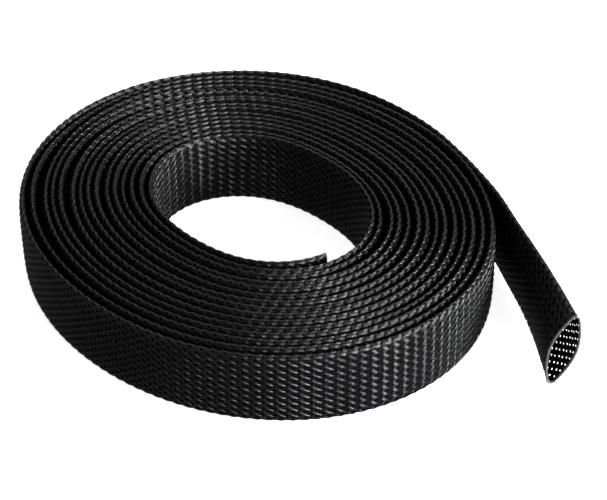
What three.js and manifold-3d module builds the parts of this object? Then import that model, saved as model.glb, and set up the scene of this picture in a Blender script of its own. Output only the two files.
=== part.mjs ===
// Braided cable sleeve, flattened and wound edge-up into a flat spiral roll.
// One length of sleeve: it starts at a cut end in the bore, winds outwards turn on turn,
// leaves the roll as a free tail and ends in an open oval mouth. Millimetres, +Z up.
import * as THREE from 'three';
import { mergeVertices } from 'three/addons/utils/BufferGeometryUtils.js';
import Module from 'manifold-3d';

const wasm = await Module();
wasm.setup();

// The sleeve and its winding
const flatWidth = 25;
const turns = 14.75;
const outerRadius = 73.7;
const boreRadius = 30.5;
const leaveAngle = THREE.MathUtils.degToRad(35);
const pitch = (outerRadius - boreRadius) / (turns + 1);

// The hand-wound roll is a little oval, and its bore sits a little to the back
const longAxisAngle = THREE.MathUtils.degToRad(133);
const outerOval = 0.06;
const boreOval = 0.133;
const outerShift = new THREE.Vector2(-0.6, -0.4);
const boreShift = new THREE.Vector2(-1.0, 3.8);

// The groove between two turns, on the upper and on the lower end of the roll
const grooveDepth = 3.2;
const grooveHalfWidth = 0.62;
const cutterRise = 0.5;

// Places where the winding is loose, so that the upper groove opens wider and deeper.
// Each is the turn on the outer side of the gap, its reach in turns and its opening.
const looseGaps = [
  [0.12, 0.1, 0.9],
  [0.65, 0.16, 0.7],
  [1.37, 0.22, 1.2],
  [4.33, 0.22, 1.3],
  [8.4, 0.18, 0.6],
  [11.8, 0.25, 0.6],
  [13.7, 0.42, 1.8],
];
const widerByOpening = 0.5;
const deeperByOpening = 1.6;

// The outer face and the bore's face stand this far inside the groove's middle line
const faceInset = 0.08;

// The tail: the middle line of its lower edge, from where it leaves the roll to the mouth.
// Each point is a direction from the roll's middle in degrees and a share of the outer radius.
const tailRoute = [
  [23, 0.921],
  [12.6, 0.945],
  [2.8, 0.986],
  [-7.6, 1.043],
  [-17.3, 1.134],
  [-25.9, 1.244],
  [-34.5, 1.388],
];
const tailThickness = pitch;
const tailEdgeHeight = 1.3;
const tailPress = 0.14;
const tailRootTurns = 0.05;
const mouthThickness = 9.2;
const mouthHeightShare = 0.94;
const mouthLean = THREE.MathUtils.degToRad(19);
const mouthSkewLength = 3.5;
const wall = 0.6;
const hollowDepth = 40;
const mouthOvercut = 1;

// How finely the curves are divided
const stepsPerTurn = 48;
const tailSteps = 30;
const hollowSteps = 14;

// Edge line between two turns, counted in turns inwards from the place where the tail leaves
function edgePoint(turn, outwards = 0) {
  const angle = leaveAngle + turn * 2 * Math.PI;
  const share = turn / (turns + 1);
  const oval = THREE.MathUtils.lerp(outerOval, boreOval, share);
  const roundRadius = outerRadius - pitch * turn;
  const radius = roundRadius * (1 + oval * Math.cos(2 * (angle - longAxisAngle))) + outwards;
  const centre = outerShift.clone().lerp(boreShift, share);
  return new THREE.Vector2(centre.x + radius * Math.cos(angle), centre.y + radius * Math.sin(angle));
}

function edgeLine(fromTurn, toTurn, outwards = 0) {
  const steps = Math.round((toTurn - fromTurn) * stepsPerTurn);
  const points = [];
  for (let i = 0; i <= steps; i += 1) {
    points.push(edgePoint(THREE.MathUtils.lerp(fromTurn, toTurn, i / steps), outwards));
  }
  return points;
}

function asSolid(geometry) {
  const bare = geometry.clone();
  bare.deleteAttribute('normal');
  bare.deleteAttribute('uv');
  const merged = mergeVertices(bare);
  const vertProperties = new Float32Array(merged.attributes.position.array);
  const triVerts = new Uint32Array(merged.index.array);
  return new wasm.Manifold(new wasm.Mesh({ numProp: 3, vertProperties, triVerts }));
}

function asGeometry(solid) {
  const mesh = solid.getMesh();
  const geometry = new THREE.BufferGeometry();
  geometry.setAttribute('position', new THREE.BufferAttribute(new Float32Array(mesh.vertProperties), 3));
  geometry.setIndex(new THREE.BufferAttribute(new Uint32Array(mesh.triVerts), 1));
  geometry.computeVertexNormals();
  return geometry;
}

// A straight bar of the given outline, whose points are then put in place one by one:
// place(side, height, share) says where a point of the outline goes at that share of the length
function sweep(outline, steps, place) {
  const shape = new THREE.Shape(outline);
  const bar = new THREE.ExtrudeGeometry(shape, { depth: 1, steps, bevelEnabled: false });
  const position = bar.attributes.position;
  for (let i = 0; i < position.count; i += 1) {
    const point = place(position.getX(i), position.getY(i), position.getZ(i));
    position.setXYZ(i, point.x, point.y, point.z);
  }
  return asSolid(bar);
}

// The roll as a plain ring, with the step of one turn outside and the cut end inside
function plainRoll() {
  const shape = new THREE.Shape(edgeLine(0, 1, -faceInset));
  shape.holes.push(new THREE.Path(edgeLine(turns, turns + 1, faceInset)));
  return asSolid(new THREE.ExtrudeGeometry(shape, { depth: flatWidth, bevelEnabled: false }));
}

// How far the gap on the inner side of a turn stands open, in millimetres
function openingAt(turn) {
  let opening = 0;
  for (const [place, reach, widest] of looseGaps) {
    const near = Math.max(1 - ((turn - place) / reach) ** 2, 0);
    opening += widest * near ** 2;
  }
  return opening;
}

// One spiral groove from the outside of the roll to its bore, cut from below or from above.
// looseness is 1 where the loose places show, and 0 where they don't.
function groove(endHeight, inward, looseness) {
  const line = edgeLine(0, turns + 1);
  const steps = line.length - 1;
  const past = endHeight - inward * cutterRise;
  const outline = [
    new THREE.Vector2(-grooveHalfWidth, past),
    new THREE.Vector2(grooveHalfWidth, past),
    new THREE.Vector2(grooveHalfWidth, endHeight),
    new THREE.Vector2(0, endHeight + inward * grooveDepth),
    new THREE.Vector2(-grooveHalfWidth, endHeight),
  ];
  return sweep(outline, steps, (side, height, share) => {
    const i = Math.round(share * steps);
    const before = line[Math.max(i - 1, 0)];
    const after = line[Math.min(i + 1, steps)];
    const along = after.clone().sub(before).normalize();
    const opening = looseness * openingAt(i / stepsPerTurn - 1);
    const wide = side * (1 + widerByOpening * opening);
    const depth = (height - endHeight) * inward;
    const deep = depth * (depth > 0 ? 1 + deeperByOpening * opening : 1);
    return new THREE.Vector3(line[i].x - along.y * wide, line[i].y + along.x * wide, endHeight + inward * deep);
  });
}

function tailPath() {
  const points = [];
  for (const turn of [tailRootTurns, tailRootTurns / 2, 0]) {
    const outer = edgePoint(turn);
    const inwards = edgePoint(turn + 1).sub(outer);
    const middle = outer.addScaledVector(inwards, 0.5 + tailPress / inwards.length());
    points.push(new THREE.Vector3(middle.x, middle.y, 0));
  }
  for (const [degrees, share] of tailRoute) {
    const angle = THREE.MathUtils.degToRad(degrees);
    const distance = share * outerRadius;
    points.push(new THREE.Vector3(distance * Math.cos(angle), distance * Math.sin(angle), 0));
  }
  return new THREE.CatmullRomCurve3(points);
}

// Half the thickness of the tail at a height, when its middle is opened by a given amount
function halfThickness(height, opening) {
  const toEdge = Math.min(height, flatWidth - height);
  const rounded = Math.min(toEdge / tailEdgeHeight, 1);
  const land = pitch / 2 - grooveHalfWidth;
  const flat = THREE.MathUtils.lerp(land, tailThickness / 2, rounded);
  return flat + opening * Math.sin(Math.PI * height / flatWidth);
}

// The tail's outline with sides of -1 and 1, between two heights
function sleeveOutline(bottom, top) {
  const levels = [bottom, bottom + tailEdgeHeight];
  for (const share of [0.25, 0.5, 0.75]) {
    levels.push(THREE.MathUtils.lerp(bottom, top, share));
  }
  levels.push(top - tailEdgeHeight, top);
  const right = levels.map((level) => new THREE.Vector2(1, level));
  const left = levels.map((level) => new THREE.Vector2(-1, level)).reverse();
  return right.concat(left);
}

// Puts a point of the tail in place: it leans outwards, opens and is cut a little askew
function tailPlace(path, length, inset) {
  return (side, height, share) => {
    const level = height / flatWidth;
    const open = THREE.MathUtils.smoothstep(share, 0.35, 1);
    const opening = open * (mouthThickness - tailThickness) / 2;
    const lean = mouthLean * Math.min(share, 1) ** 2.8;
    const shareHere = share - mouthSkewLength / length * level * share ** 4;
    const base = path.getPointAt(THREE.MathUtils.clamp(shareHere, 0, 1));
    const along = path.getTangentAt(THREE.MathUtils.clamp(shareHere, 0, 1));
    base.addScaledVector(along, Math.max(shareHere - 1, 0) * length);
    const across = side * (halfThickness(height, opening) - inset);
    const rise = height * THREE.MathUtils.lerp(1, mouthHeightShare, open);
    const out = across * Math.cos(lean) + rise * Math.sin(lean);
    const lift = (pitch / 2 - grooveHalfWidth) * Math.sin(lean);
    const up = rise * Math.cos(lean) - across * Math.sin(lean) + lift;
    return new THREE.Vector3(base.x - along.y * out, base.y + along.x * out, up);
  };
}

function tail(path, length) {
  return sweep(sleeveOutline(0, flatWidth), tailSteps, tailPlace(path, length, 0));
}

function tailHollow(path, length) {
  const start = 1 - hollowDepth / length;
  const end = 1 + (mouthSkewLength + mouthOvercut) / length;
  const place = tailPlace(path, length, wall);
  const outline = sleeveOutline(2 * wall, flatWidth - 2 * wall);
  return sweep(outline, hollowSteps, (side, height, share) => place(side, height, THREE.MathUtils.lerp(start, end, share)));
}

function sleeveSolid() {
  const path = tailPath();
  const length = path.getLength();
  return plainRoll()
    .add(tail(path, length))
    .subtract(tailHollow(path, length))
    .subtract(groove(0, 1, 0))
    .subtract(groove(flatWidth, -1, 1));
}

const sleeveGeometry = asGeometry(sleeveSolid());
sleeveGeometry.computeBoundingBox();
const box = sleeveGeometry.boundingBox;
sleeveGeometry.translate(-(box.min.x + box.max.x) / 2, -(box.min.y + box.max.y) / 2, -box.min.z);

const blackPlastic = new THREE.MeshStandardMaterial({ color: 0x17181a, roughness: 0.45, metalness: 0 });
const sleeve = new THREE.Mesh(sleeveGeometry, blackPlastic);
sleeve.name = 'braided_sleeve';

const roll = new THREE.Group();
roll.name = 'cable_sleeve_roll';
roll.add(sleeve);

export default roll;
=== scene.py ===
# %% [markdown]
# # A roll of braided cable sleeve
#
# Braided sleeve is a tube of crossing plastic bands. It is sold flattened and rolled up on
# its edge, like a tape. This lesson dresses the plain CAD roll with the real braid: bands of
# filaments that pass over and under each other, folded round the edge of every turn.
#
# The frame is opened first. Its box is kept and printed.

import math

import bpy
import numpy as np
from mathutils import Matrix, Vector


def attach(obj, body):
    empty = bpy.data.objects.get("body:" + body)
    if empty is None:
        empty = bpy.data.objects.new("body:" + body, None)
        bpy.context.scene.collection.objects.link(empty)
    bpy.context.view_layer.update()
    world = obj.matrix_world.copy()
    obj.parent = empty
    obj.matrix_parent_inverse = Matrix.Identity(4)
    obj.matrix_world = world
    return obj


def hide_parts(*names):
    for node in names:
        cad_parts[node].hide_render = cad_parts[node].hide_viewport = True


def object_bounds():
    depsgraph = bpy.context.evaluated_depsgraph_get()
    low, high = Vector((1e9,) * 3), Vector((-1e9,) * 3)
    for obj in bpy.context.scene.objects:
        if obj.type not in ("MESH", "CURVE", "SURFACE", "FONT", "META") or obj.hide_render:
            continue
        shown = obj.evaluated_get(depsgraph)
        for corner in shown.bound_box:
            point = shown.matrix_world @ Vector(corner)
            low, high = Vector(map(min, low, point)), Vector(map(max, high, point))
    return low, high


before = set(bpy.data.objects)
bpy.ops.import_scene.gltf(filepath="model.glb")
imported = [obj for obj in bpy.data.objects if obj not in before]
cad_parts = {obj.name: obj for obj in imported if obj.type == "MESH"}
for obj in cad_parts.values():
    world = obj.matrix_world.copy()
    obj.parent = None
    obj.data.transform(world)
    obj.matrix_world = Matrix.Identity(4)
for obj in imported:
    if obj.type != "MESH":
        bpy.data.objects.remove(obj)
cad_low, cad_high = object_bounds()
mm = 0.001
chance = np.random.default_rng(14)
print("CAD box in mm:", [round(v / mm, 1) for v in (*cad_low, *cad_high)])

# %% [markdown]
# ## The winding
#
# The sleeve follows one spiral from the free end to the cut end in the bore. A circle for each
# turn would be simpler, but then the turns wouldn't join, so one formula gives the edge line
# between two turns. The roll was wound by hand: it is a little oval, and its bore sits back.

# %% Edge line between two turns
flat_width = 25.0
turns = 14.75
outer_radius = 73.7
bore_radius = 30.5
pitch = (outer_radius - bore_radius) / (turns + 1)
leave_angle = math.radians(35)
long_axis = math.radians(133)
outer_oval, bore_oval = 0.06, 0.133
outer_middle = np.array([-0.6, -0.4])
bore_middle = np.array([-1.0, 3.8])
rim_points = 200


def edge_point(turn):
    angle = leave_angle + turn * 2 * math.pi
    share = np.asarray(turn / (turns + 1))[..., None]
    oval = outer_oval + (bore_oval - outer_oval) * share[..., 0]
    radius = (outer_radius - pitch * turn) * (1 + oval * np.cos(2 * (angle - long_axis)))
    middle = outer_middle + (bore_middle - outer_middle) * share
    return middle + np.stack([radius * np.cos(angle), radius * np.sin(angle)], -1)


rim = edge_point(np.linspace(0, 1, rim_points))
roll_shift = np.array([cad_low.x, cad_low.y]) / mm - rim.min(0)
print("turns", turns, "pitch", round(pitch, 2), "mm, roll middle at", roll_shift.round(1))

# %% [markdown]
# ## The run of the sleeve
#
# The tail leaves the roll and ends in the mouth. Its few route points are joined by a
# Catmull-Rom curve, which passes through every point and needs no handles. The curve ends on
# the first points of the roll, so that the tail meets it without a kink. Inside the roll the
# sleeve runs halfway between two neighbouring edge lines.

# %% Path from the mouth to the cut end in the bore
tail_route = [
    (-34.5, 1.388), (-25.9, 1.244), (-17.3, 1.134), (-7.6, 1.043),
    (2.8, 0.986), (12.6, 0.945), (23, 0.921),
]
steps_between_points = 40
points_per_turn = 120
points_past_root = 4


def route_point(degrees, share):
    angle = math.radians(degrees)
    return share * outer_radius * np.array([math.cos(angle), math.sin(angle)])


def through_points(points):
    padded = np.vstack([2 * points[0] - points[1], points, 2 * points[-1] - points[-2]])
    share = np.linspace(0, 1, steps_between_points, endpoint=False)[:, None]
    runs = []
    for before, here, there, after in zip(padded, padded[1:], padded[2:], padded[3:]):
        slope = (there - before) / 2
        bend = before - 2.5 * here + 2 * there - after / 2
        twist = (after - before) / 2 + 1.5 * (here - there)
        runs.append(here + slope * share + bend * share**2 + twist * share**3)
    return np.vstack(runs)


tail_points = [route_point(degrees, share) for degrees, share in tail_route]
winding = np.linspace(0, turns, int(turns * points_per_turn))
roll_points = (edge_point(winding) + edge_point(winding + 1)) / 2
root_points = roll_points[0], roll_points[points_past_root]
tail_run = through_points(np.vstack([tail_points, *root_points]))
tail_run = tail_run[: len(tail_points) * steps_between_points]
print("path has", len(tail_run), "points on the tail and", len(roll_points), "in the roll")

# %% [markdown]
# ## Equal steps along the sleeve
#
# The whole run is measured off in equal steps, so that any place on it is found by its distance
# from the mouth. Each step also knows its heading and its turn. On the tail the turn is below
# nought, so one number says how far in a place lies.

# %% Distances, headings and turns
step = 0.25
beyond_mouth = 2.0
outer_turn_length = 460.0

path = np.vstack([tail_run, roll_points])
out_of_mouth = (path[0] - path[1]) / np.linalg.norm(path[0] - path[1])
path = np.vstack([path[0] + out_of_mouth * beyond_mouth, path])
stretches = np.linalg.norm(np.diff(path, axis=0), axis=1)
gone = np.concatenate([[0], np.cumsum(stretches)]) - beyond_mouth
tail_length = gone[len(tail_run) + 1]
sleeve_length = gone[-1]
stations = np.arange(-beyond_mouth, sleeve_length + step, step)
station_xy = np.stack([np.interp(stations, gone, path[:, i]) + roll_shift[i] for i in (0, 1)], 1)
heading = np.gradient(station_xy, axis=0)
heading /= np.linalg.norm(heading, axis=1)[:, None]
path_turn = np.concatenate([np.zeros(len(tail_run) + 1), winding])
station_turn = np.interp(stations, gone, path_turn)
station_turn -= np.maximum(tail_length - stations, 0) / outer_turn_length
print("sleeve", round(sleeve_length / 1000, 2), "m, tail", round(tail_length), "mm")

# %% [markdown]
# ## Loose winding
#
# No two turns lie quite alike: some stand higher, some lean, and here and there a dark gap
# opens. Random values at knots along the sleeve, eased from one to the next, give this. The
# few wide gaps are placed one by one, close to those of the CAD roll, because the eye finds
# them first. They are widest at the top and close towards the floor. The side with more turns
# gives way, so that the outline and the bore keep their shape. Only the outermost turn itself
# springs outwards at its gaps. The outermost turns also stand a little farther out, and the
# innermost ones a little farther in, because nothing holds them there.

# %% Unevenness along the sleeve
# Each gap: the turn on its outer side, its reach in turns and its opening in millimetres
loose_gaps = [
    (0.10, 0.15, 1.3), (0.65, 0.16, 0.7), (1.37, 0.22, 1.2), (3.12, 0.17, 1.9),
    (4.33, 0.22, 1.3), (8.40, 0.18, 0.6), (11.80, 0.25, 0.6), (13.70, 0.42, 1.0),
]
turns_that_give, more_at_wide_gaps = 0.7, 0.9
root_start, root_turns = -0.12, 0.22
slack_outside, slack_inside, slack_turns = 0.9, 0.8, 2.5
calm_length = 60
tail_rise_share = 0.3


def smooth(share):
    share = np.clip(share, 0, 1)
    return share * share * (3 - 2 * share)


def wander(knot_spacing, height):
    knots = chance.normal(0, height, int(sleeve_length / knot_spacing) + 4)
    place = (stations + beyond_mouth) / knot_spacing
    index = place.astype(int)
    ease = smooth(place - index)
    return knots[index] * (1 - ease) + knots[index + 1] * ease


def gap_shift():
    shift = np.zeros_like(stations)
    for turn, reach, opening in loose_gaps:
        away = station_turn - turn
        neighbour = np.round(away)
        near = np.clip(1 - ((away - neighbour) / reach) ** 2, 0, 1) ** 2
        rank = np.where(neighbour <= 0, -neighbour, neighbour - 1)
        outer_share = 1.0 if turn < 1 else turn / turns
        side = np.where(neighbour <= 0, outer_share, outer_share - 1)
        fading = turns_that_give + more_at_wide_gaps * opening
        shift += side * near * opening * np.exp(-rank / fading)
    return shift


in_roll = smooth((station_turn - root_start) / root_turns)
slack = slack_outside * np.exp(-np.abs(station_turn) / slack_turns)
slack -= slack_inside * np.exp((station_turn - turns) / slack_turns)
side_shift = (wander(knot_spacing=55, height=0.12) + slack) * in_roll
top_shift = gap_shift() * in_roll
calm_end = smooth((sleeve_length - stations) / calm_length)
rising = tail_rise_share + (1 - tail_rise_share) * in_roll
rim_rise = wander(knot_spacing=45, height=0.3) * rising * calm_end
rim_lean = wander(knot_spacing=70, height=0.3) * in_roll
plumpness = 1 + wander(knot_spacing=40, height=0.07)
print("upper edge rises and falls by", round(float(rim_rise.std()), 2), "mm")
print("turns give way by up to", round(float(np.abs(top_shift).max()), 2), "mm")

# %% [markdown]
# ## A place on the sleeve
#
# Everything on the sleeve is given by two lengths and a height: how far along, how far round
# the flattened tube, and how far above its skin. One function turns these into a point in
# space. It also leans and opens the tail, so the braid, the lining and the cut rim always fit.

# %% From lengths on the sleeve to points in space
skin_depth = 0.42
fold_radius = 0.88
face_height = flat_width - 2 * (skin_depth + fold_radius)
fold_length = math.pi * fold_radius
girth = 2 * (face_height + fold_length)
fold_pinch = 0.42
pinch_reach = 2.4
mouth_thickness = 9.2
mouth_height_share = 0.94
mouth_lean = math.radians(19)
mouth_skew = 3.5
lean_growth, skew_growth = 2.8, 4
opening_starts = 0.35
edge_land = 0.7


def at(along, values):
    return np.interp(along, stations, values)


def section(around, above):
    around = np.mod(around, girth)
    sign = np.where(around >= girth / 2, -1.0, 1.0)
    around = np.mod(around, girth / 2)
    turned = np.clip((around - face_height) / fold_radius, 0, math.pi)
    side = (fold_radius + above) * np.cos(turned)
    height = np.minimum(around, face_height) - face_height / 2
    height = height + (fold_radius + above) * np.sin(turned)
    return sign * side, sign * height + flat_width / 2, sign * np.cos(turned)


def on_sleeve(along, around, above):
    side, height, facing = section(around, above)
    level = np.clip(height / flat_width, 0, 1)
    tail_share = np.clip(1 - along / tail_length, 0, 1)
    along = along + mouth_skew * level * tail_share**skew_growth
    opened = smooth((tail_share - opening_starts) / (1 - opening_starts))
    lean = mouth_lean * tail_share**lean_growth
    to_edge = np.clip(np.minimum(height, flat_width - height), 0, None)
    side = side * at(along, plumpness) * (1 - fold_pinch * np.exp(-to_edge / pinch_reach))
    opening = opened * (mouth_thickness / 2 - fold_radius - skin_depth)
    side = side + facing * opening * np.sin(math.pi * level)
    side = side + at(along, side_shift) + at(along, top_shift) * level
    side = side + at(along, rim_lean) * (level - 0.5)
    height = height * (1 + (mouth_height_share - 1) * opened)
    height = height + at(along, rim_rise) * level**2
    out = side * np.cos(lean) + height * np.sin(lean)
    up = height * np.cos(lean) - side * np.sin(lean) + edge_land * np.sin(lean)
    x, y = (at(along, station_xy[:, i]) for i in (0, 1))
    ahead_x, ahead_y = (at(along, heading[:, i]) for i in (0, 1))
    return np.stack([x + ahead_y * out, y - ahead_x * out, up], -1) * mm


print("girth", round(girth, 1), "mm, mouth at", (on_sleeve(0.0, girth / 4, 0.0) / mm).round(1))

# %% [markdown]
# ## Meshes from grids of points
#
# Half a million small faces are too many for bmesh loops. Each piece is made as grids of points
# in numpy and handed to Blender in one go. Every piece also gets a flat layout named OFBake, so
# that its finish can be baked without unfolding thousands of strips.

# %% Helpers that make a piece from quads
def grid_quads(rows, columns, closed, first=0):
    last_column = columns if closed else columns - 1
    row, column = np.meshgrid(np.arange(rows - 1), np.arange(last_column), indexing="ij")
    here, right = row * columns + column, row * columns + (column + 1) % columns
    corners = [here, right, right + columns, here + columns]
    return np.stack(corners, -1).reshape(-1, 4) + first


def make_piece(name, points, quads, layout, marks, material):
    used = np.unique(quads)
    renumber = np.zeros(len(points), np.int64)
    renumber[used] = np.arange(len(used))
    corners = renumber[quads].ravel().astype(np.int32)
    mesh = bpy.data.meshes.new(name)
    mesh.vertices.add(len(used))
    mesh.vertices.foreach_set("co", points[used].astype(np.float32).ravel())
    mesh.loops.add(len(corners))
    mesh.loops.foreach_set("vertex_index", corners)
    mesh.polygons.add(len(quads))
    mesh.polygons.foreach_set("loop_start", np.arange(0, len(corners), 4, dtype=np.int32))
    mesh.polygons.foreach_set("use_smooth", np.ones(len(quads), bool))
    unfolded = mesh.uv_layers.new(name="OFBake")
    unfolded.data.foreach_set("uv", layout[used][corners].astype(np.float32).ravel())
    for mark, values in marks.items():
        attribute = mesh.attributes.new(mark, "FLOAT", "POINT")
        attribute.data.foreach_set("value", values[used].astype(np.float32))
    mesh.update(calc_edges=True)
    mesh.validate()
    mesh.materials.append(material)
    piece = bpy.data.objects.new(name, mesh)
    bpy.context.scene.collection.objects.link(piece)
    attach(piece, "root")
    print(name, "has", 2 * len(quads), "triangles")
    return piece


# %% [markdown]
# ## What the materials share
#
# The bands, the lining, the melted ends and the table are all plastics with two shades. Most of
# them also have a soft cloud or a bump. The helpers here wire these parts once, so that each
# material says only what is its own.

# %% Helpers for the materials
def node(tree, kind, **values):
    made = tree.nodes.new(kind)
    for name, value in values.items():
        made.inputs[name].default_value = value
    return made


def plastic(name, specular):
    material = bpy.data.materials.new(name)
    material.use_nodes = True
    shader = material.node_tree.nodes["Principled BSDF"]
    shader.inputs["Specular IOR Level"].default_value = specular
    return material, material.node_tree, shader


def two_shades(tree, shader, source, dark, light):
    shade = node(tree, "ShaderNodeValToRGB")
    shade.color_ramp.elements[0].color = (*dark, 1)
    shade.color_ramp.elements[1].color = (*light, 1)
    tree.links.new(source, shade.inputs["Fac"])
    tree.links.new(shade.outputs["Color"], shader.inputs["Base Color"])


def cloud_on_sleeve(tree, scale, detail):
    place = node(tree, "ShaderNodeTexCoord")
    cloud = node(tree, "ShaderNodeTexNoise", Scale=scale, Detail=detail)
    tree.links.new(place.outputs["Object"], cloud.inputs["Vector"])
    return cloud.outputs["Fac"]


def bump_by(tree, shader, source, strength, distance):
    bump = node(tree, "ShaderNodeBump", Strength=strength, Distance=distance)
    tree.links.new(source, bump.inputs["Height"])
    tree.links.new(bump.outputs["Normal"], shader.inputs["Normal"])


# %% [markdown]
# ## Black plastic
#
# The bands are glossy black polyester. They look grey only where they catch the light, so the
# colour stays almost black and the sheen does the work. Each band is three filaments side by
# side. Modelling all three would triple the mesh, so three ridges across the band are bump.

# %% Material of the bands
filaments_per_band = 3


def mark_on_band(tree, name):
    mark = node(tree, "ShaderNodeAttribute")
    mark.attribute_name = name
    return mark.outputs["Fac"]


def worked_out(tree, operation, source):
    step = node(tree, "ShaderNodeMath")
    step.operation = operation
    tree.links.new(source, step.inputs[0])
    return step


def band_plastic():
    material, tree, shader = plastic("black_filament", specular=0.34)
    shader.inputs["IOR"].default_value = 1.56
    ridges = worked_out(tree, "MULTIPLY", mark_on_band(tree, "across"))
    ridges.inputs[1].default_value = filaments_per_band * math.pi / 2
    wave = worked_out(tree, "COSINE", ridges.outputs[0])
    height = worked_out(tree, "ABSOLUTE", wave.outputs[0])
    bump_by(tree, shader, height.outputs[0], strength=1.0, distance=0.00010)
    sheen = node(tree, "ShaderNodeMapRange")
    sheen.inputs["To Min"].default_value = 0.19
    sheen.inputs["To Max"].default_value = 0.28
    tree.links.new(cloud_on_sleeve(tree, scale=90.0, detail=3.0), sheen.inputs["Value"])
    tree.links.new(sheen.outputs["Result"], shader.inputs["Roughness"])
    dark, light = (0.0015, 0.0016, 0.0019), (0.0050, 0.0053, 0.0060)
    two_shades(tree, shader, mark_on_band(tree, "tone"), dark, light)
    return material


black_filament = band_plastic()
print("material", black_filament.name)

# %% [markdown]
# ## The lining
#
# Through the open braid only darkness shows: the other wall of the flattened tube, and the
# next turn. A dull dark wall just under the bands stands for it. It follows the same function
# as the braid, so it never shows through, and it takes the place of the plain CAD solid. Deep
# between the turns, where no band is woven, it swells to meet the next turn. Where the winding
# is loosest a narrow slit stays, and the table shows through it from straight above. Behind the
# mouth the wall is left out, because there the light shines through the open braid.

# %% Dull dark wall under the braid
def lining_plastic():
    material, tree, shader = plastic("dark_inside", specular=0.06)
    shader.inputs["Roughness"].default_value = 0.7
    cloud = cloud_on_sleeve(tree, scale=700.0, detail=2.0)
    two_shades(tree, shader, cloud, (0.001, 0.001, 0.0012), (0.004, 0.004, 0.0045))
    bump_by(tree, shader, cloud, strength=0.4, distance=0.0002)
    return material


dark_inside = lining_plastic()
open_length = 16.0
lining_step = 2.2
wall_outside = -0.12
pressed_wall = 0.56
woven_depth = 2.6
faces_seen = 1.1
root_seen = 0.15


def from_folds(around):
    around = np.mod(around, girth)
    from_top = np.abs(around - face_height - fold_length / 2)
    from_foot = np.minimum(around + fold_length / 2, np.abs(girth - fold_length / 2 - around))
    outer = around < face_height + fold_length / 2
    return outer, from_top, from_foot


def round_the_sleeve(per_fold=6, per_face=6):
    face = np.linspace(0, face_height, per_face, endpoint=False)
    fold = face_height + np.linspace(0, fold_length, per_fold, endpoint=False)
    half = np.concatenate([face, fold])
    return np.concatenate([half, half + girth / 2])


def pressed(along, around):
    turn = at(along, station_turn)
    outer, from_top, from_foot = from_folds(around)
    in_bore = turn > turns - faces_seen
    bare = np.where(outer, turn < faces_seen, in_bore | (turn < root_seen))
    return smooth((np.minimum(from_top, from_foot) - woven_depth) / woven_depth) * ~bare


def make_lining():
    along = np.linspace(open_length, sleeve_length, int(sleeve_length / lining_step))[:, None]
    around = round_the_sleeve()[None, :] + 0 * along
    above = wall_outside + (pressed_wall - wall_outside) * pressed(along, around)
    points = on_sleeve(along, around, above).reshape(-1, 3)
    layout = np.stack([along / sleeve_length + 0 * around, around / girth], -1).reshape(-1, 2)
    quads = grid_quads(*around.shape, closed=True)
    return make_piece("sleeve_lining", points, quads, layout, {}, dark_inside)


lining = make_lining()
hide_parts("braided_sleeve")

# %% [markdown]
# ## The braid
#
# Half of the bands wind one way round the tube and half the other way. At each crossing one
# band goes over and the next time under. Along a band that is a cosine wave, so no crossing has
# to be looked up. Weaving the whole five metres on every side would give millions of faces, so
# only the sides that can be seen are kept: the outer face, the bore, the tail and the folds.

# %% Bands over and under each other
bands_each_way = 21
band_gap = girth / bands_each_way
braid_slope = 0.70
braid_angle = math.atan(braid_slope)
crossing_step = band_gap / (2 * braid_slope)
rows_per_crossing = 3
row_length = crossing_step / rows_per_crossing
points_across = 5
band_half_width, fold_half_width, mouth_half_width = 0.47, 0.64, 0.72
weave_height, fold_weave_height = 0.20, 0.09
fold_spread = 2.0
band_swell = 0.15
band_base = 0.10
band_thickness = 0.08
band_phase = 0.173
end_margin = 0.1


def band_points(way, first_row, last_row, inside):
    row = np.arange(first_row, last_row)[None, :, None]
    band = np.arange(bands_each_way)[:, None, None]
    across = np.linspace(-1, 1, points_across)[None, None, :]
    middle = (band + band_phase + way * row / (2 * rows_per_crossing)) * band_gap
    outer, from_top, from_foot = from_folds(middle)
    on_fold = np.exp(-(np.minimum(from_top, from_foot) / fold_spread) ** 2)
    along = row * row_length
    in_mouth = smooth(2 - along / open_length)
    half_width = band_half_width + (fold_half_width - band_half_width) * on_fold
    offset = across * np.maximum(half_width, mouth_half_width * in_mouth)
    wave = weave_height + (fold_weave_height - weave_height) * on_fold
    along = along - way * offset * math.sin(braid_angle)
    along = np.clip(along, end_margin, sleeve_length - end_margin)
    around = middle + offset * math.cos(braid_angle)
    above = band_base + way * wave * np.cos(math.pi * row / rows_per_crossing)
    bulge = band_swell * (1 - across**2)
    above = above - band_thickness - bulge if inside else above + bulge
    return along, around, above, middle[..., 0]


print(2 * bands_each_way, "bands cross every", round(crossing_step, 2), "mm")

# %% [markdown]
# ## From bands to a piece
#
# All the bands of one way form one long grid. A rule given to `weave` picks the faces to keep,
# and those that would join the end of one band to the start of the next are left out. Each band
# gets its own strip of the layout and its own shade of black.

# %% Helpers that weave a piece
strip_share = 0.4


def rows_between(first_turn, last_turn):
    run = stations[(station_turn >= first_turn) & (station_turn <= last_turn) & (stations >= 0)]
    return math.ceil(run[0] / row_length), int(min(run[-1], sleeve_length) / row_length)


def kept_quads(keep, strips, length, wide):
    quads = grid_quads(strips * length, wide, closed=False).reshape(-1, wide - 1, 4)
    within_band = np.arange(strips * length - 1) % length != length - 1
    wanted = np.zeros(len(within_band), bool)
    wanted[within_band] = keep.ravel()
    return quads[wanted].reshape(-1, 4)


def strip_layout(along, over_band, first_strip):
    strip = first_strip + np.arange(bands_each_way)[:, None, None]
    u = (along - along.min()) / (along.max() - along.min())
    v = (strip + 0.5 + strip_share * over_band) / (2 * bands_each_way) + 0 * u
    return np.stack([u, v], -1).reshape(-1, 2)


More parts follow.
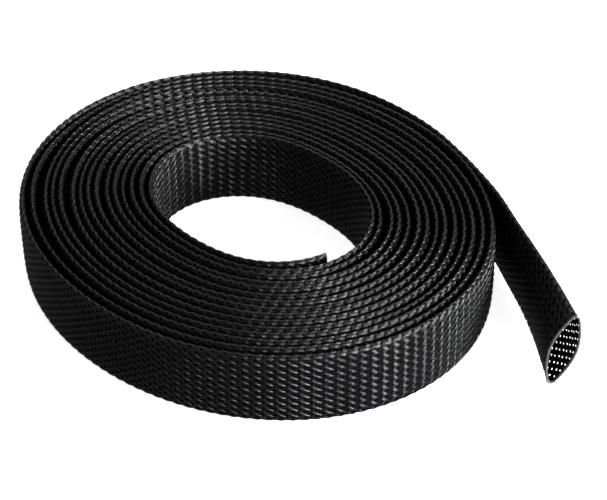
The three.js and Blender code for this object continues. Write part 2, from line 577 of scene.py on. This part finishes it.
def weave(name, part, first_turn, last_turn, inside=False):
    first_row, last_row = rows_between(first_turn, last_turn)
    turn = at(np.arange(first_row, last_row) * row_length, station_turn)
    over_band = np.linspace(-1, 1, points_across)
    points, quads, layout, across, tone, count = [], [], [], [], [], 0
    for way, first_strip in ((1, 0), (-1, bands_each_way)):
        along, around, above, middle = band_points(way, first_row, last_row, inside)
        keep = part(*from_folds(middle), turn[None, :])[:, :-1]
        kept = kept_quads(keep, *along.shape)
        kept = kept[:, ::-1] if (way == 1) != inside else kept
        quads.append(kept + count)
        count += along.size
        points.append(on_sleeve(along, around, above).reshape(-1, 3))
        layout.append(strip_layout(along, over_band, first_strip))
        across.append(np.broadcast_to(over_band, along.shape).ravel())
        shade = chance.random(bands_each_way)[:, None, None]
        tone.append(np.broadcast_to(shade, along.shape).ravel())
    marks = {"across": np.concatenate(across), "tone": np.concatenate(tone)}
    points, quads, layout = np.vstack(points), np.vstack(quads), np.vstack(layout)
    make_piece(name, points, quads, layout, marks, black_filament)


# %% [markdown]
# ## Which side of the sleeve is seen where
#
# A rule for each piece says what to keep. It gets four things: whether a place is on the outer
# half, its distance from the upper and from the lower edge, and its turn. The folds of the many
# turns come in two pieces each, to keep every piece below two hundred thousand triangles.

# %% Weave the faces and the folds
fold_reach = 2.6
foot_reach = 2.2
halfway = 6.2
woven_turns = 1.06
both_sides_until = 0.12


def outer_face(outer, from_top, from_foot, turn):
    wanted = outer | (turn < both_sides_until)
    return wanted & (from_top >= fold_reach) & (from_foot >= foot_reach)


def bore_face(outer, from_top, from_foot, turn):
    return ~outer & (from_top >= fold_reach) & (from_foot >= foot_reach)


def upper_fold(outer, from_top, from_foot, turn):
    return (from_top < fold_reach) & (turn <= turns)


def lower_fold(outer, from_top, from_foot, turn):
    return (from_foot < foot_reach) & (turn <= turns)


def all_round(outer, from_top, from_foot, turn):
    return (from_top >= 0) & (turn <= turns)


mouth_turn = -tail_length / outer_turn_length
open_until = mouth_turn + open_length / outer_turn_length
weave("outer_face_braid", outer_face, mouth_turn, woven_turns)
weave("bore_face_braid", bore_face, turns - woven_turns, turns)
weave("upper_folds_outside", upper_fold, mouth_turn, halfway)
weave("upper_folds_inside", upper_fold, halfway, turns)
weave("lower_folds_outside", lower_fold, mouth_turn, halfway)
weave("lower_folds_inside", lower_fold, halfway, turns)
weave("mouth_inside_braid", all_round, mouth_turn, open_until, inside=True)

# %% [markdown]
# ## The melted ends
#
# Braid frays when it is cut with scissors, so it is cut with a hot knife. The band ends melt
# into a bead round the rim, with small lumps where they end. A thin tube laid round the rim
# gives this bead at the mouth and at the cut end in the bore. The bead itself is real, but its
# grey, far lighter than the black bands, is painted highlight: the lit edge of the cut end.

# %% Bead round both ends
mouth_bead, cut_end_bead = 0.40, 0.28
bead_sides = 8
points_per_band = 8
bead_thin, lump_height = 0.85, 0.3
direction_step = 0.5


def melted_plastic_painted_highlight():
    material, tree, shader = plastic("melted_rim_painted_highlight", specular=0.5)
    shader.inputs["Roughness"].default_value = 0.38
    cloud = cloud_on_sleeve(tree, scale=900.0, detail=2.0)
    # grey shades of the bead: painted highlight of the lit cut end, lighter than the black plastic
    two_shades(tree, shader, cloud, (0.035, 0.036, 0.038), (0.090, 0.092, 0.096))
    bump_by(tree, shader, cloud, strength=0.5, distance=0.0001)
    return material


def bead(along, radius):
    around = np.linspace(0, girth, bands_each_way * points_per_band + 1)
    at_mouth = along < open_length
    farther_in = along + direction_step if at_mouth else along - direction_step
    middle = on_sleeve(along, around, 0.0)
    lift = on_sleeve(along, around, direction_step) - middle
    run = on_sleeve(farther_in, around, 0.0) - middle
    lift, run = (v / np.linalg.norm(v, axis=1)[:, None] for v in (lift, run))
    turned = np.linspace(0, 2 * math.pi, bead_sides, endpoint=False)[None, :, None]
    lump = bead_thin + lump_height * np.cos(2 * math.pi * around / band_gap)[:, None, None] ** 2
    offset = lift[:, None] * np.cos(turned) + run[:, None] * np.sin(turned)
    return middle[:, None] + offset * lump * radius * mm


def melted_ends():
    points, quads, layout = [], [], []
    ends = (end_margin, mouth_bead), (sleeve_length - end_margin, cut_end_bead)
    for row, (along, radius) in enumerate(ends):
        ring = bead(along, radius)
        long, sides = ring.shape[:2]
        quads.append(grid_quads(long, sides, closed=True, first=row * long * sides))
        points.append(ring.reshape(-1, 3))
        round_bead = (np.arange(sides) / sides + row) / 2
        u, v = np.meshgrid(np.linspace(0, 1, long), round_bead, indexing="ij")
        layout.append(np.stack([u, v], -1).reshape(-1, 2))
    material = melted_plastic_painted_highlight()
    make_piece("melted_ends", np.vstack(points), np.vstack(quads), np.vstack(layout), {}, material)


melted_ends()

# %% [markdown]
# ## Camera
#
# The photograph was taken from far off with a long lens, which keeps the ellipses of the roll
# almost parallel. The place, the distance and the lens come from fitting the roll's edges.

# %% Camera of the photograph
focal_length, film_width = 151.7, 36
camera_distance = 785
aim_from_middle = np.array([12.97, -7.5])
azimuth, elevation, camera_roll = (math.radians(v) for v in (-1.2, 37.55, 0.11))


def make_camera():
    lens = bpy.data.cameras.new("photo_camera")
    lens.sensor_width = film_width
    lens.lens = focal_length
    lens.clip_start = 0.01
    camera = bpy.data.objects.new("photo_camera", lens)
    aim = np.array([*(aim_from_middle + roll_shift), flat_width / 2]) * mm
    level = math.cos(elevation)
    back = np.array([math.sin(azimuth) * level, -math.cos(azimuth) * level, math.sin(elevation)])
    camera.location = aim + back * camera_distance * mm
    camera.rotation_euler = (math.pi / 2 - elevation, 0, azimuth)
    camera.rotation_euler.rotate_axis("Z", -camera_roll)
    bpy.context.scene.collection.objects.link(camera)
    bpy.context.scene.camera = camera
    return camera


camera = make_camera()
print("camera at", [round(v, 3) for v in camera.location])

# %% [markdown]
# ## Floor and light
#
# The roll lies on a white table, in a room with soft light. Black plastic shows only what it
# reflects. So a long lamp behind the roll gives the grey sheen on the folds, and two low soft
# lamps at the front right pick out the bands, one on the outer face and one also on the bore's
# far wall. The ceiling and the walls stay weak. The table glows a little by itself, so that it
# stays white, as in the photograph, and the roll's shadow on it stays faint.

# %% Floor, lamps and surroundings
floor_reach = 3.0
floor_drop = 0.0002


def floor_white():
    material, tree, shader = plastic("white_floor", specular=0.1)
    shader.inputs["Roughness"].default_value = 0.8
    shader.inputs["Emission Color"].default_value = (1, 1, 1, 1)
    shader.inputs["Emission Strength"].default_value = 0.85
    cloud = node(tree, "ShaderNodeTexNoise", Scale=3.0)
    two_shades(tree, shader, cloud.outputs["Fac"], (0.90, 0.90, 0.90), (0.94, 0.94, 0.94))
    return material


def make_floor():
    mesh = bpy.data.meshes.new("floor")
    corners = [(-1, -1), (1, -1), (1, 1), (-1, 1)]
    corners = [(x * floor_reach, y * floor_reach, -floor_drop) for x, y in corners]
    mesh.from_pydata(corners, [], [(0, 1, 2, 3)])
    mesh.materials.append(floor_white())
    floor = bpy.data.objects.new("floor", mesh)
    bpy.context.scene.collection.objects.link(floor)
    floor.visible_glossy = False


def make_lamp(name, place, width, height, power):
    data = bpy.data.lights.new(name, "AREA")
    data.shape = "RECTANGLE"
    data.size, data.size_y = width, height
    data.energy = power
    lamp = bpy.data.objects.new(name, data)
    lamp.location = place
    x, y, z = place
    tilt, turned = math.atan2(math.hypot(x, y), z), math.atan2(-y, -x) - math.pi / 2
    lamp.rotation_euler = (tilt, 0, turned)
    bpy.context.scene.collection.objects.link(lamp)


def light_the_room():
    world = bpy.data.worlds.new("bright_room")
    bpy.context.scene.world = world
    world.use_nodes = True
    sky = world.node_tree.nodes["Background"]
    sky.inputs["Color"].default_value = (0.97, 0.98, 1.0, 1)
    sky.inputs["Strength"].default_value = 0.12
    make_lamp("ceiling_lamp", place=(0.0, 0.15, 1.5), width=1.8, height=1.8, power=5)
    make_lamp("back_lamp", place=(0.1, 1.2, 0.9), width=1.2, height=0.4, power=6)
    make_lamp("key_lamp", place=(0.98, -0.36, 0.26), width=0.5, height=0.46, power=40)
    make_lamp("front_lamp", place=(0.53, -0.80, 0.38), width=0.24, height=0.24, power=6.5)
    bpy.context.scene.view_settings.view_transform = "Standard"


make_floor()
light_the_room()
